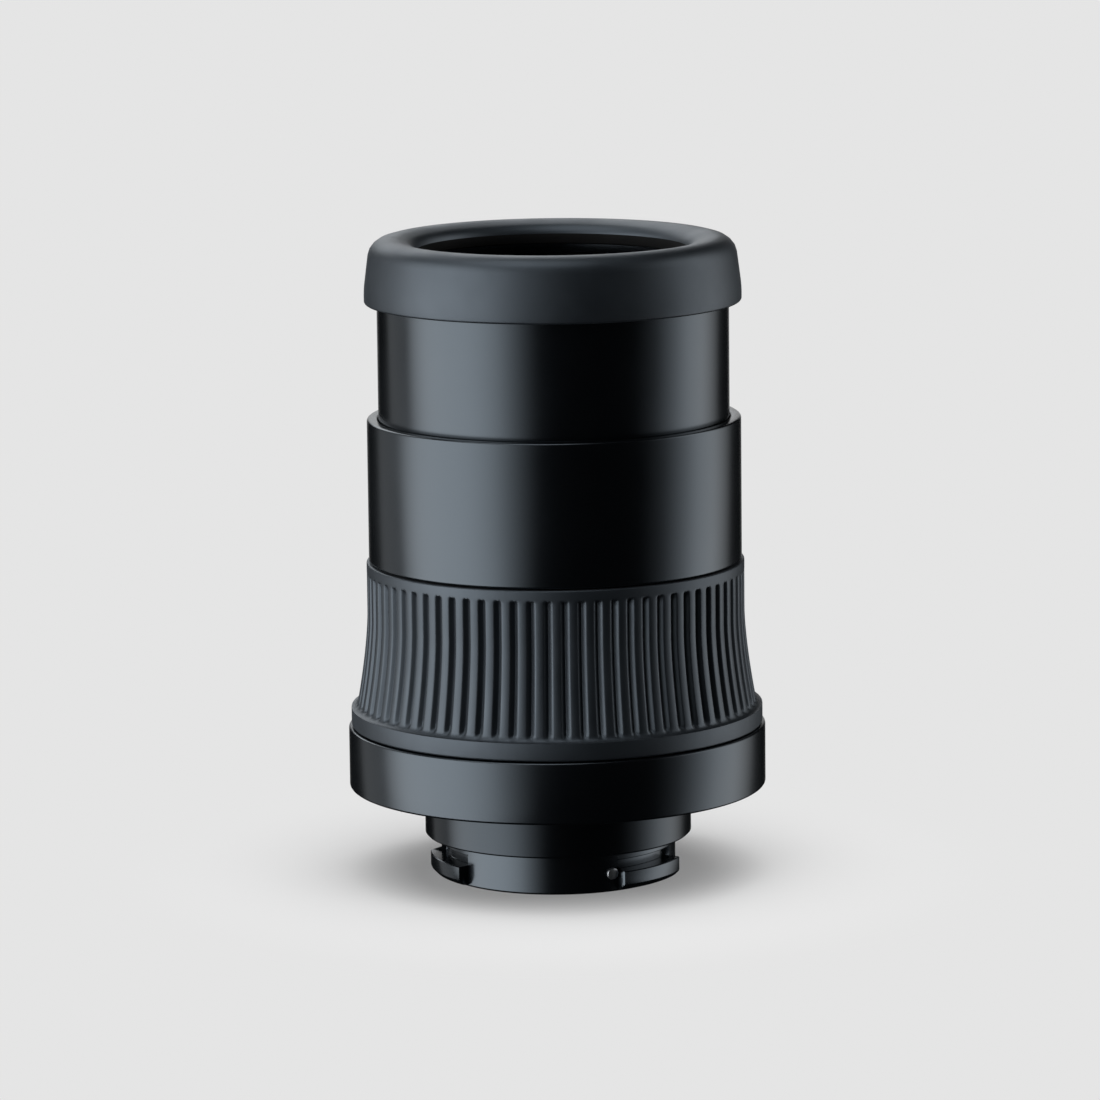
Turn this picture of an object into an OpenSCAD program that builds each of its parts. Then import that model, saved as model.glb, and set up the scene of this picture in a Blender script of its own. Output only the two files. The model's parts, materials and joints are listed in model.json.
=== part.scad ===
// Zoom eyepiece for a spotting scope, standing on its bayonet with the eye end up.
// The optical axis is Z. Angles are counted from +X, and the front of the eyepiece looks along -Y.

/* [Bayonet mount] */
// Height of the bayonet mount below the base ring
mount_h = 13; // [10:0.1:16]
// Width of the step from the flange in to the neck that centres the eyepiece in the scope
neck_step = 5; // [4:0.1:5.2]
// Height of the spigot between the locking grooves and the neck
neck_gap_h = 1.3; // [0.8:0.1:2]
// Width of the step from the neck in to the spigot
spigot_step = 2.3; // [1.9:0.1:2.6]
// How far the bayonet lugs stand out from the spigot
lug_reach = 1.6; // [1:0.1:1.8]
// Height of a lug
lug_h = 2.8; // [2.2:0.1:3.2]
// Height of the lugs' undersides above the bottom face
lug_rise = 0.3; // [0.2:0.1:0.8]
// Height of the locking groove above each lug
groove_h = 1.4; // [1.2:0.1:2]
// Depth of the locking groove
groove_depth = 0.8; // [0.4:0.1:1]
// Number of lugs
lug_count = 3; // [2:1:4]
// Angle that one lug covers
lug_span = 40; // [25:1:50]
// Angle at which the first lug starts
lug_start = 180; // [170:1:190]
// Wall of the spigot round the light bore
spigot_wall = 2.9; // [2.8:0.1:4.4]
// Diameter of the stop pin in the spigot
stop_pin_d = 1.7; // [1.4:0.1:2]
// Angle between the stop pin and the lug that follows it
stop_pin_lead = 3.5; // [3.5:0.5:8]

/* [Base ring] */
// How far the base ring stands out from the top of the grip
flare_reach = 2.9; // [2.4:0.1:4]
// Height of the base ring
base_h = 8.8; // [8:0.1:12]
// Thickness of the floor that holds the mount's flange
base_floor = 1.7; // [1.5:0.1:2]
// Bevel along the outer edges of the metal rings
edge_bevel = 0.35; // [0.2:0.05:0.5]

/* [Zoom ring] */
// Height of the zoom ring
ring_h = 24; // [23.5:0.5:30]
// How far the ribbed grip stands out from the barrel at its top
grip_step = 0.35; // [0.2:0.05:0.8]
// Thickness of the rubber grip
grip_wall = 1.35; // [1.2:0.05:1.6]
// Height of the grip's straight upper part
grip_straight_h = 10; // [8:0.5:12]
// How far the grip's foot band lies inside the base ring's outline
band_step = 0.4; // [0.2:0.05:0.8]
// Height of the smooth band at the foot of the grip
band_h = 2.7; // [2.2:0.1:3.2]
// Radius of the fillet between the ribs and the foot band
band_fillet = 1; // [0.7:0.1:1.2]
// Height of the smooth band at the top of the grip
top_band_h = 1.6; // [1.2:0.1:2.4]
// Number of ribs round the grip
rib_count = 72; // [60:1:80]
// Share of the pitch that a groove between two ribs takes
groove_share = 0.48; // [0.4:0.01:0.55]
// Depth of the grooves between the ribs
rib_depth = 0.6; // [0.4:0.05:0.75]

/* [Barrel] */
// Wall of the barrel round the eyecup tube
barrel_wall = 1.55; // [1.3:0.05:2.6]
// Height of the barrel above the zoom ring
barrel_h = 20.5; // [20.2:0.1:24]
// Wall of the bearing under the zoom ring
bearing_wall = 1.6; // [1.4:0.05:1.8]
// Thickness of the shelf at the bottom of the barrel's bore
shelf_h = 1.2; // [1:0.1:1.4]

/* [Eyecup] */
// Wall of the helix sleeve inside the eyecup tube
helix_wall = 1.25; // [1.15:0.05:1.6]
// Wall of the eyecup tube
sleeve_wall = 1; // [0.8:0.05:1.1]
// Height of eyecup tube that still shows when the cup is down
sleeve_show_low = 1; // [0.6:0.1:4]
// How far the rubber cup stands out from its tube
cup_step = 1.8; // [1.4:0.1:3]
// Height of the rubber cup
cup_h = 9.2; // [8.6:0.1:12]
// Thickness of the cup's roof at its crest
roof_h = 3.4; // [3:0.1:4]
// Width of the cup's roof, from the outside of its tube in to the opening for the eye
roof_w = 5.8; // [5.1:0.1:7]
// Length of eyecup tube that stays in the barrel when the cup is up
cup_hold = 1.4; // [1.2:0.1:5]
// Turn of the eyecup over its travel
cup_turn = 120; // [100:5:120]
// Height of the click ring
click_h = 1.8; // [1.6:0.1:2]

/* [Optics] */
// Outer diameter of the two sliding lens cells, which every other diameter is built up from
cell_d = 40; // [34:0.1:46]
// Length of a sliding lens cell
cell_h = 8; // [7.6:0.1:8.6]
// Travel of the rear lens cell
rear_travel = 5; // [3:0.1:5.6]
// Turn of the zoom ring from one stop to the other
zoom_turn = 90; // [70:5:90]
// Wall of the front cell round its lenses
front_cell_wall = 2.5; // [2.3:0.1:3.5]
// Wall of the rear cell round its lens
rear_cell_wall = 3; // [2.5:0.1:4]
// Wall of the eye cell round the eye lens and its doublet
eye_cell_wall = 5.15; // [4.8:0.05:6]
// Wall of the neck round the field lens
neck_wall = 3.7; // [3.6:0.1:4.3]
// Width of the field stop's lip inside the field lens
stop_lip = 4; // [2.5:0.1:5.5]

/* [Walls and clearances] */
// Wall of the tube that guides the lens cells
guide_wall = 1.25; // [1.1:0.05:1.4]
// Wall of the tube with the cam slots
cam_wall = 1.2; // [1.1:0.05:1.4]
// Diameter of follower, drive and guide pins
pin_d = 2; // [1.8:0.1:2.2]
// Radial clearance of pieces that run on each other
run_gap = 0.1; // [0.06:0.01:0.1]
// Clearance of pieces that are fixed in each other
seat_gap = 0.03; // [0.02:0.01:0.05]
// Clearance at each end of the zoom ring
end_gap = 0.15; // [0.1:0.01:0.3]
// Clearance of stops at the ends of a travel
stop_gap = 0.4; // [0.3:0.05:0.6]

/* [Hidden] */
$fn = 96;

anodised = "#25292d";
rubber = "#33383d";
steel = "#b9bcc0";
brass = "#b08d4a";
glass = "#9db7bd";

// Shoulder and relief groove of the neck where it enters the base ring
neck_shoulder = 0.4;
relief_h = 0.3;
relief_depth = 0.2;

// Bevels at the neck's lower edge and under the lugs
neck_edge = 0.25;
lug_bevel = 0.8;

// Radii from the optical axis outwards
cell_r = cell_d / 2;
guide_in = cell_r + run_gap;
guide_out = guide_in + guide_wall;
cam_in = guide_out + run_gap;
cam_out = cam_in + cam_wall;
bearing_in = cam_out + run_gap;
bearing_out = bearing_in + bearing_wall;
core_in = bearing_out + run_gap;
eye_tube_in = guide_out + seat_gap;
eye_tube_out = bearing_in - seat_gap;
helix_in = eye_tube_out + run_gap;
helix_out = helix_in + helix_wall;
sleeve_in = helix_out + seat_gap;
sleeve_r = sleeve_in + sleeve_wall;
bore_r = sleeve_r + run_gap;
barrel_r = bore_r + barrel_wall;
grip_r = barrel_r + grip_step;
base_r = grip_r + flare_reach;
band_r = base_r - band_step;
foot_r = band_r - band_fillet;
cup_r = sleeve_r + cup_step;
flange_r = bearing_out - 0.15;
neck_r = flange_r - neck_step;
neck_seat_r = neck_r + neck_shoulder;
spigot_r = neck_r - spigot_step;
light_r = spigot_r - spigot_wall;
eye_open_r = sleeve_r - roof_w;
front_lens_r = cell_r - front_cell_wall;
rear_lens_r = cell_r - rear_cell_wall;
eye_cell_out = eye_tube_in - seat_gap;
eye_lens_r = eye_cell_out - eye_cell_wall;
field_lens_r = neck_r - neck_wall;
stop_open_r = field_lens_r - stop_lip;
pin_r = pin_d / 2;
slot_r = pin_r + run_gap;
stop_pin_turn = lug_start + 360 / lug_count - stop_pin_lead;
stop_pin_depth = 1.4;
stop_pin_reach = 0.5;

// Round seals: one between mount and base ring, two under the zoom ring
seal_r = 0.5;
seal_turn_r = (neck_r + flange_r) / 2;
zoom_seal_r = 0.4;
zoom_seal_inset = 1.6;
seal_play = 0.05;
seal_squeeze = 0.03;

// Levels along the axis, from the bottom face up
stop_pin_z = lug_rise + lug_h - 0.4;
base_z = mount_h;
floor_z = base_z + base_floor;
flange_h = 2;
flange_z = floor_z + flange_h;
ring_z = base_z + base_h;
barrel_z = ring_z + ring_h;
shelf_z = barrel_z + shelf_h;
rim_z = barrel_z + barrel_h;
shelf_gap = 0.3;
click_gap = 0.2;
cup_travel = rim_z - cup_hold - click_gap - click_h - shelf_gap - shelf_z;
cup_z = rim_z + cup_travel + sleeve_show_low;
top_z = cup_z + cup_h;
roof_z = top_z - roof_h;

// Flat rim of every lens face, and the bevel that keeps rings and ledges off the curved face
lens_rim = 0.3;
ring_rise = 0.45;

// How far each curved lens face bulges out, or is hollow
field_low_sag = -1.2;
field_high_sag = -1.6;
crown_low_sag = 0.9;
crown_high_sag = 1.6;
flint_high_sag = -0.6;
rear_low_sag = 0.9;
rear_high_sag = 1.1;
doublet_low_sag = 0.8;
doublet_mid_sag = 2.2;
doublet_high_sag = 0.5;
eye_low_sag = 1.2;
eye_high_sag = 2;

// Field lens and field stop in the mount, placed from the top of its flange
stop_h = 0.8;
stop_ledge = 0.7;
field_edge_h = 5;
field_ring_h = 1.8;
field_ring_wall = 1.7;
field_ring_gap = 0.8;
field_z = flange_z - stop_h - field_ring_gap - field_ring_h - field_edge_h;

// Guide tube, its foot and the screws that hold it on the mount
foot_h = 1;
screw_turn = 45;
screw_l = 3.5;
screw_d = 1.6;
screw_head_d = 3;
screw_head_h = 0.9;
screw_count = 4;
foot_in = field_lens_r + run_gap;
screw_turn_r = foot_in + screw_head_d / 2 + 0.7;
foot_z = flange_z + foot_h;

// Lens cells: the front one starts low, the rear one high
follower_inset = 1.5;
follower_depth = 1.7;
cell_gap = 0.7;
cell_ledge_h = 1;
cell_ledge_w = 1.3;
crown_edge_h = 1.6;
flint_edge_h = 3.2;
cell_ring_z = cell_ledge_h + crown_edge_h + flint_edge_h;
cell_ring_h = 1.6;
cell_ring_wall = 1.6;
cam_low_z = ring_z + 1.2;
cam_top_z = barrel_z - 1.5;
front_z = foot_z + screw_head_h + 0.6;
front_pin_z = front_z + cell_h - follower_inset;
rear_pin_z = cam_top_z - pin_d - 0.4;
rear_z = rear_pin_z - follower_inset;
front_travel = rear_z - rear_travel - cell_gap - front_z - cell_h;
front_turn = 60;
rear_turn = 0;
guide_top_z = rear_z + cell_h + 1.3;
drive_z = (front_pin_z + front_travel + rear_pin_z - rear_travel) / 2;

// Eye end: the cup's tube ends in a flange that stops just above the eye cell when the cup is down
cup_flange_h = 1.5;
cup_flange_in = eye_open_r + 2.2;
cup_flange_z = roof_z - cup_flange_h;
eye_z = cup_flange_z - cup_travel - stop_gap;
eye_low_z = cam_top_z + 0.4;
eye_cell_z = guide_top_z + 0.3;
eye_flange_h = 1.2;
eye_ledge_h = 1.5;
eye_ledge_w = 1.4;
eye_waist = 2;
eye_waist_bevel = 1.5;
eye_foot_h = 1;
eye_land_h = 3;
eye_spacer_wall = 1.2;
eye_ring_w = 2.6;
eye_ring_h = 0.8;
eye_ring_bevel = 0.3;
eye_lens_top_z = eye_z - 2.2;
eye_lens_edge_h = 5.5;
doublet_z = eye_cell_z + eye_ledge_h;
doublet_crown_h = 3.2;
doublet_flint_h = 4.3;
doublet_top_z = doublet_z + doublet_crown_h + doublet_flint_h;

// Click ring under the eyecup tube, keyed to the eye tube
click_z = shelf_z + shelf_gap + cup_travel;
sleeve_z = click_z + click_h + click_gap;
click_ball_r = 0.6;
click_ball_turn_r = (helix_in + sleeve_r) / 2;
key_w = 2.4;
key_depth = 0.65;
key_count = 3;
key_turn = 30;
cup_pin_z = sleeve_z + 3;
cup_pin_turn = 90;
cup_pin_depth = 1.2;
pin_count = 3;

// Grip outline
grip_low_z = ring_z + end_gap;
grip_high_z = barrel_z - end_gap;
flare_z = grip_high_z - grip_straight_h;
fillet_z = ring_z + band_h + band_fillet;
flare_steps = 5;
rib_top_z = barrel_z - top_band_h;
rib_run = 0.35;
rib_turn = 1.3;

// Degrees between the stations of a helical slot
slot_step = 6;

function polar(r, a, z) = [r * cos(a), r * sin(a), z];
function arc(x, y, r, a0, a1, n) =
    [for (i = [0:n]) let (a = a0 + (a1 - a0) * i / n) [x + r * cos(a), y + r * sin(a)]];

// Flare of the grip between its straight part and the fillet above the foot band, top first
function flare(inset) =
    [for (i = [0:flare_steps]) let (u = i / flare_steps)
        [grip_r + (foot_r - grip_r) * pow(u, 1.15) - inset, flare_z + (fillet_z - flare_z) * u]];

module ring(r_in, r_out, z0, z1) {
    rotate_extrude() translate([r_in, z0]) square([r_out - r_in, z1 - z0]);
}

// Ring whose outer edges are bevelled
module bevelled_ring(r_in, r_out, z0, z1, bevel_low, bevel_high) {
    rotate_extrude() polygon([[r_in, z0], [r_out - bevel_low, z0], [r_out, z0 + bevel_low],
        [r_out, z1 - bevel_high], [r_out - bevel_high, z1], [r_in, z1]]);
}

// Round rod or hole that lies along a radius
module radial(turn, r0, r1, z, r) {
    rotate([0, 0, turn]) translate([r0, 0, z]) rotate([0, 90, 0]) cylinder(r = r, h = r1 - r0);
}

module around(count, start) {
    for (i = [0:count - 1]) rotate([0, 0, start + i * 360 / count]) children();
}

module o_ring(r, z, section_r) {
    rotate_extrude() translate([r, z]) circle(r = section_r, $fn = 48);
}

// Lens on the axis with a flat rim: a sag is positive where a face bulges out, negative where hollow
module lens(r, z, edge_h, sag_low, sag_high) {
    face_r = r - lens_rim;
    ball_low = ball_r(face_r, sag_low);
    ball_high = ball_r(face_r, sag_high);
    translate([0, 0, z]) rotate_extrude($fn = 128) difference() {
        union() {
            square([r, edge_h]);
            if (sag_high > 0) cap(r, edge_h, sag_high, ball_high);
            if (sag_low > 0) mirror([0, 1]) cap(r, 0, sag_low, ball_low);
        }
        if (sag_high < 0) translate([0, edge_h + sag_high + ball_high]) circle(r = ball_high, $fn = 256);
        if (sag_low < 0) translate([0, -sag_low - ball_low]) circle(r = ball_low, $fn = 256);
    }
}

function ball_r(r, sag) = (r * r + sag * sag) / (2 * abs(sag));

module cap(r, y, sag, ball) {
    intersection() {
        translate([0, y + sag - ball]) circle(r = ball, $fn = 256);
        translate([0, y]) square([r, sag + 1]);
    }
}

// Slot that a radial pin sweeps as it turns and climbs, with ruled walls and round ends
module helix_slot(r0, r1, a0, turn, z0, rise) {
    mid_r = (r0 + r1) / 2;
    slope = atan2(rise, mid_r * turn * PI / 180);
    side_a = slot_r * sin(slope) / mid_r * 180 / PI;
    side_z = slot_r * cos(slope);
    steps = ceil(turn / slot_step);
    points = [for (i = [0:steps]) let (a = a0 + turn * i / steps, z = z0 + rise * i / steps)
        each [polar(r0, a + side_a, z - side_z), polar(r1, a + side_a, z - side_z),
              polar(r1, a - side_a, z + side_z), polar(r0, a - side_a, z + side_z)]];
    walls = [for (i = [0:steps - 1], k = [0:3]) let (p = 4 * i + k, q = 4 * i + (k + 1) % 4)
        each [[p, q, q + 4], [p, q + 4, p + 4]]];
    last = 4 * steps;
    ends = [[3, 2, 1], [3, 1, 0], [last, last + 1, last + 2], [last, last + 2, last + 3]];
    polyhedron(points, concat(walls, ends));
    radial(a0, r0, r1, z0, slot_r);
    radial(a0 + turn, r0, r1, z0 + rise, slot_r);
}

// Slot along the axis for a radial pin
module straight_slot(turn, r0, r1, z0, z1) {
    rotate([0, 0, turn]) translate([r0, -slot_r, z0]) cube([r1 - r0, 2 * slot_r, z1 - z0]);
    radial(turn, r0, r1, z0, slot_r);
    radial(turn, r0, r1, z1, slot_r);
}

// Bayonet mount: flange, neck, spigot, locking grooves and lugs
module bayonet_mount() {
    groove_low_z = lug_rise + lug_h;
    groove_top_z = groove_low_z + groove_h;
    neck_low_z = groove_top_z + neck_gap_h;
    seat_r = field_lens_r + seat_gap;
    stop_seat_r = seat_r + stop_ledge;
    color(anodised) {
        difference() {
            rotate_extrude() polygon([
                [light_r + 0.6, 0], [spigot_r - 0.3, 0], [spigot_r, 0.3], [spigot_r, neck_low_z],
                [neck_r - neck_edge, neck_low_z], [neck_r, neck_low_z + neck_edge],
                [neck_r, base_z - relief_h],
                [neck_r - relief_depth, base_z - relief_h], [neck_r - relief_depth, base_z],
                [neck_seat_r, base_z], [neck_seat_r, floor_z],
                [flange_r, floor_z], [flange_r, flange_z],
                [stop_seat_r, flange_z], [stop_seat_r, flange_z - stop_h], [seat_r, flange_z - stop_h],
                [seat_r, field_z], [light_r, field_z], [light_r, 0.6]]);
            around(lug_count, lug_start) rotate_extrude(angle = lug_span)
                translate([spigot_r - groove_depth, groove_low_z])
                square([groove_depth + 1, groove_h]);
            around(screw_count, screw_turn) translate([screw_turn_r, 0, flange_z - screw_l - 0.3])
                cylinder(d = screw_d + 2 * seat_gap, h = screw_l + 1);
            radial(stop_pin_turn, spigot_r - stop_pin_depth, spigot_r + 1, stop_pin_z,
                stop_pin_d / 2 + seat_gap);
        }
        around(lug_count, lug_start) rotate_extrude(angle = lug_span) polygon([
            [spigot_r - 1, lug_rise], [spigot_r + lug_reach - lug_bevel, lug_rise],
            [spigot_r + lug_reach, lug_rise + lug_bevel], [spigot_r + lug_reach, groove_low_z],
            [spigot_r - 1, groove_low_z]]);
    }
}

module stop_pin() {
    color(steel) radial(stop_pin_turn, spigot_r - stop_pin_depth, spigot_r + stop_pin_reach,
        stop_pin_z, stop_pin_d / 2);
}

// Base ring: the heavy ring that joins the mount to the barrel
module base_ring() {
    color(anodised) difference() {
        bevelled_ring(neck_seat_r + seat_gap, base_r, base_z, ring_z, edge_bevel, edge_bevel);
        ring(0, bearing_out + seat_gap, floor_z, ring_z + 1);
        ring(seal_turn_r - seal_r - seal_play, seal_turn_r + seal_r + seal_play,
            floor_z - 2 * seal_r, floor_z + 1);
    }
}

module mount_seal() {
    color("#1b1b1b") o_ring(seal_turn_r, floor_z - seal_r, seal_r - 0.01);
}

module field_lens() {
    color(glass) lens(field_lens_r, field_z, field_edge_h, field_low_sag, field_high_sag);
}

// Threaded ring with two spanner slots, used behind each lens
module lens_ring(r, wall, z0, z1) {
    difference() {
        rotate_extrude() polygon([[r - lens_rim, z0], [r, z0], [r, z1], [r - wall, z1],
            [r - wall, z0 + ring_rise]]);
        translate([-r - 1, -0.4, z1 - 0.6]) cube([2 * r + 2, 0.8, 1]);
    }
}

module field_lens_ring() {
    color(anodised) lens_ring(field_lens_r, field_ring_wall, field_z + field_edge_h,
        field_z + field_edge_h + field_ring_h);
}

module field_stop() {
    color(anodised) rotate_extrude() polygon([
        [stop_open_r, flange_z], [stop_open_r + stop_h / 2, flange_z - stop_h],
        [field_lens_r + stop_ledge, flange_z - stop_h], [field_lens_r + stop_ledge, flange_z]]);
}

// Guide tube: three straight slots for each lens cell, and a foot that is screwed to the mount
module guide_tube() {
    color(anodised) difference() {
        union() {
            ring(guide_in, guide_out, flange_z, guide_top_z);
            ring(foot_in, guide_out, flange_z, foot_z);
        }
        for (i = [0:pin_count - 1]) {
            straight_slot(front_turn + i * 360 / pin_count, guide_in - 1, guide_out + 1,
                front_pin_z, front_pin_z + front_travel);
            straight_slot(rear_turn + i * 360 / pin_count, guide_in - 1, guide_out + 1,
                rear_pin_z - rear_travel, rear_pin_z);
        }
        around(screw_count, screw_turn) translate([screw_turn_r, 0, flange_z - 1])
            cylinder(d = screw_d + 2 * seat_gap, h = foot_h + 2);
    }
}

module guide_screws() {
    color(steel) around(screw_count, screw_turn) translate([screw_turn_r, 0, foot_z]) difference() {
        union() {
            cylinder(d = screw_head_d, h = screw_head_h);
            translate([0, 0, -foot_h - screw_l]) cylinder(d = screw_d, h = foot_h + screw_l + 0.1);
        }
        translate([0, 0, screw_head_h / 2]) cylinder(d = screw_head_d / 2, h = screw_head_h, $fn = 6);
    }
}

// Barrel: the outer tube for the eyecup, and below it the bearing that the zoom ring turns on
module barrel() {
    color(anodised) difference() {
        union() {
            bevelled_ring(bearing_in, barrel_r, barrel_z, rim_z, edge_bevel, edge_bevel);
            ring(bearing_in, bearing_out, flange_z, barrel_z + 0.1);
        }
        ring(0, bore_r, shelf_z, rim_z + 1);
        rotate_extrude() polygon([[bore_r - 0.1, rim_z - 0.3], [bore_r, rim_z - 0.3],
            [bore_r + 0.4, rim_z + 0.1], [bore_r - 0.1, rim_z + 0.1]]);
        for (i = [0:1]) rotate([0, 0, 180 * i]) {
            rotate_extrude(angle = zoom_turn) translate([bearing_in - 1, drive_z - slot_r])
                square([bearing_wall + 2, 2 * slot_r]);
            radial(0, bearing_in - 1, bearing_out + 1, drive_z, slot_r);
            radial(zoom_turn, bearing_in - 1, bearing_out + 1, drive_z, slot_r);
        }
        for (z = [ring_z + zoom_seal_inset, barrel_z - zoom_seal_inset])
            ring(bearing_out + seal_squeeze - 2 * zoom_seal_r, bearing_out + 1,
                z - zoom_seal_r - seal_play, z + zoom_seal_r + seal_play);
    }
}

module zoom_seals() {
    color("#1b1b1b") for (z = [ring_z + zoom_seal_inset, barrel_z - zoom_seal_inset])
        o_ring(bearing_out + seal_squeeze - zoom_seal_r, z, zoom_seal_r);
}

// Eye tube: stands in the barrel, carries the eye cell inside and the eyecup outside
module eye_tube() {
    color(anodised) difference() {
        ring(eye_tube_in, eye_tube_out, eye_low_z, eye_z - eye_flange_h);
        around(key_count, key_turn) translate([eye_tube_out - key_depth, -key_w / 2, shelf_z])
            cube([2, key_w, eye_z]);
        around(pin_count, cup_pin_turn) radial(0, eye_tube_in - 1, eye_tube_out + 1, cup_pin_z,
            pin_r + seat_gap);
    }
}

module cup_guide_pins() {
    color(steel) around(pin_count, cup_pin_turn)
        radial(0, eye_tube_in - cup_pin_depth, helix_out - 0.2, cup_pin_z, pin_r);
}

// Eye cell: holds the eye lens and its doublet, with a waist that saves weight
module eye_cell() {
    seat_r = eye_lens_r + seat_gap;
    color(anodised) difference() {
        rotate_extrude() polygon([
            [seat_r - eye_ledge_w, eye_cell_z], [eye_cell_out, eye_cell_z],
            [eye_cell_out, doublet_z + eye_foot_h],
            [seat_r + eye_waist, doublet_z + eye_foot_h + eye_waist_bevel],
            [seat_r + eye_waist, cup_pin_z - eye_land_h - eye_waist_bevel],
            [eye_cell_out, cup_pin_z - eye_land_h], [eye_cell_out, eye_z - eye_flange_h],
            [eye_tube_out, eye_z - eye_flange_h], [eye_tube_out, eye_z],
            [seat_r, eye_z], [seat_r, doublet_z], [eye_lens_r - lens_rim, doublet_z],
            [seat_r - eye_ledge_w, doublet_z - ring_rise]]);
        around(pin_count, cup_pin_turn) radial(0, eye_tube_in - cup_pin_depth, eye_tube_out + 1,
            cup_pin_z, pin_r + seat_gap);
    }
}

module eye_doublet_crown() {
    color(glass) lens(eye_lens_r, doublet_z, doublet_crown_h, doublet_low_sag, doublet_mid_sag);
}

module eye_doublet_flint() {
    color(glass) lens(eye_lens_r, doublet_z + doublet_crown_h + seat_gap,
        doublet_flint_h - seat_gap, -doublet_mid_sag, doublet_high_sag);
}

module eye_spacer() {
    z0 = doublet_top_z;
    z1 = eye_lens_top_z - eye_lens_edge_h;
    rim_r = eye_lens_r - lens_rim;
    color(anodised) rotate_extrude() polygon([
        [rim_r, z0], [eye_lens_r, z0], [eye_lens_r, z1], [rim_r, z1],
        [eye_lens_r - eye_spacer_wall, z1 - ring_rise], [eye_lens_r - eye_spacer_wall, z0 + ring_rise]]);
}

module eye_lens() {
    color(glass) lens(eye_lens_r, eye_lens_top_z - eye_lens_edge_h, eye_lens_edge_h,
        eye_low_sag, eye_high_sag);
}

// Eye lens ring: threaded into the eye cell, with a lip over its rim
module eye_lens_ring() {
    r = eye_lens_r;
    color(anodised) rotate_extrude() polygon([
        [r - lens_rim, eye_lens_top_z], [r, eye_lens_top_z], [r, eye_z], [r + eye_ring_w, eye_z],
        [r + eye_ring_w, eye_z + eye_ring_h - eye_ring_bevel],
        [r + eye_ring_w - eye_ring_bevel, eye_z + eye_ring_h], [r, eye_z + eye_ring_h],
        [r - eye_spacer_wall, eye_z - eye_ring_h / 2], [r - eye_spacer_wall, eye_lens_top_z + ring_rise]]);
}

// Zoom ring core: metal ring that follows the flare inside the rubber
module zoom_core() {
    color(anodised) difference() {
        rotate_extrude() polygon(concat(
            [[core_in, grip_low_z], [core_in, grip_high_z], [grip_r - grip_wall, grip_high_z]],
            flare(grip_wall), [[foot_r - grip_wall, grip_low_z]]));
        radial(0, core_in - 1, core_in + 1, drive_z, pin_r + seat_gap);
        radial(180, core_in - 1, core_in + 1, drive_z, pin_r + seat_gap);
    }
}

// One groove between two ribs: it starts on the straight part, follows the flare and runs out on the fillet
module rib_groove() {
    rotate_extrude(angle = groove_share * 360 / rib_count) polygon(concat(
        [[grip_r + 2 * rib_depth, rib_top_z + 2 * rib_run], [grip_r - rib_depth, rib_top_z - rib_run]],
        flare(rib_depth),
        [[foot_r - 0.6 * rib_depth, fillet_z - 0.65 * band_fillet],
         [band_r + 1, fillet_z - 0.8 * band_fillet], [band_r + 1, rib_top_z + 2 * rib_run]]));
}

// Zoom grip: rubber sleeve with ribs that follow its flare
module zoom_grip() {
    color(rubber) difference() {
        rotate_extrude() polygon(concat(
            [[foot_r - grip_wall, grip_low_z]],
            [for (p = [flare_steps:-1:0]) flare(grip_wall)[p]],
            [[grip_r - grip_wall, grip_high_z], [grip_r - 0.25, grip_high_z], [grip_r, grip_high_z - 0.25]],
            flare(0),
            arc(band_r, fillet_z, band_fillet, 202, 270, 3),
            [[band_r, grip_low_z + 0.3], [band_r - 0.3, grip_low_z]]));
        around(rib_count, rib_turn) rib_groove();
    }
}

module drive_pins() {
    color(steel) for (i = [0:1]) radial(180 * i, cam_in + 0.1, core_in + 1, drive_z, pin_r);
}

// Cam tube: helical slots that carry the lens cells up and down as the zoom ring turns
module cam_tube() {
    color(brass) difference() {
        ring(cam_in, cam_out, cam_low_z, cam_top_z);
        for (i = [0:pin_count - 1]) {
            helix_slot(cam_in - 1, cam_out + 1, front_turn - zoom_turn + i * 360 / pin_count,
                zoom_turn, front_pin_z + front_travel, -front_travel);
            helix_slot(cam_in - 1, cam_out + 1, rear_turn - zoom_turn + i * 360 / pin_count,
                zoom_turn, rear_pin_z - rear_travel, rear_travel);
        }
        for (i = [0:1]) radial(180 * i, cam_in - 1, cam_out + 1, drive_z, pin_r + seat_gap);
    }
}

// Lens cell with its ledge down and its follower holes near the open end
module cell_body(lens_r) {
    difference() {
        rotate_extrude() polygon([[lens_r - cell_ledge_w, 0], [cell_r - 0.3, 0], [cell_r, 0.3],
            [cell_r, cell_h - 0.3], [cell_r - 0.3, cell_h], [lens_r + seat_gap, cell_h],
            [lens_r + seat_gap, cell_ledge_h], [lens_r - lens_rim, cell_ledge_h],
            [lens_r - cell_ledge_w, cell_ledge_h - ring_rise]]);
        around(pin_count, 0) radial(0, cell_r - follower_depth, cell_r + 1, cell_h - follower_inset,
            pin_r + seat_gap);
    }
}

module followers() {
    around(pin_count, 0) radial(0, cell_r - follower_depth, cam_out - 0.2,
        cell_h - follower_inset, pin_r);
}

module cell_ring(lens_r) {
    lens_ring(lens_r, cell_ring_wall, cell_ring_z, cell_ring_z + cell_ring_h);
}

module front_place() {
    translate([0, 0, front_z]) rotate([0, 0, front_turn]) children();
}

module rear_place() {
    translate([0, 0, rear_z + cell_h]) mirror([0, 0, 1]) rotate([0, 0, rear_turn]) children();
}

module front_cell() {
    color(anodised) front_place() cell_body(front_lens_r);
}

module front_crown_lens() {
    color(glass) front_place() lens(front_lens_r, cell_ledge_h, crown_edge_h,
        crown_low_sag, crown_high_sag);
}

module front_flint_lens() {
    color(glass) front_place() lens(front_lens_r, cell_ledge_h + crown_edge_h + seat_gap,
        flint_edge_h - seat_gap, -crown_high_sag, flint_high_sag);
}

module front_lens_ring() {
    color(anodised) front_place() cell_ring(front_lens_r);
}

module front_followers() {
    color(steel) front_place() followers();
}

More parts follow.
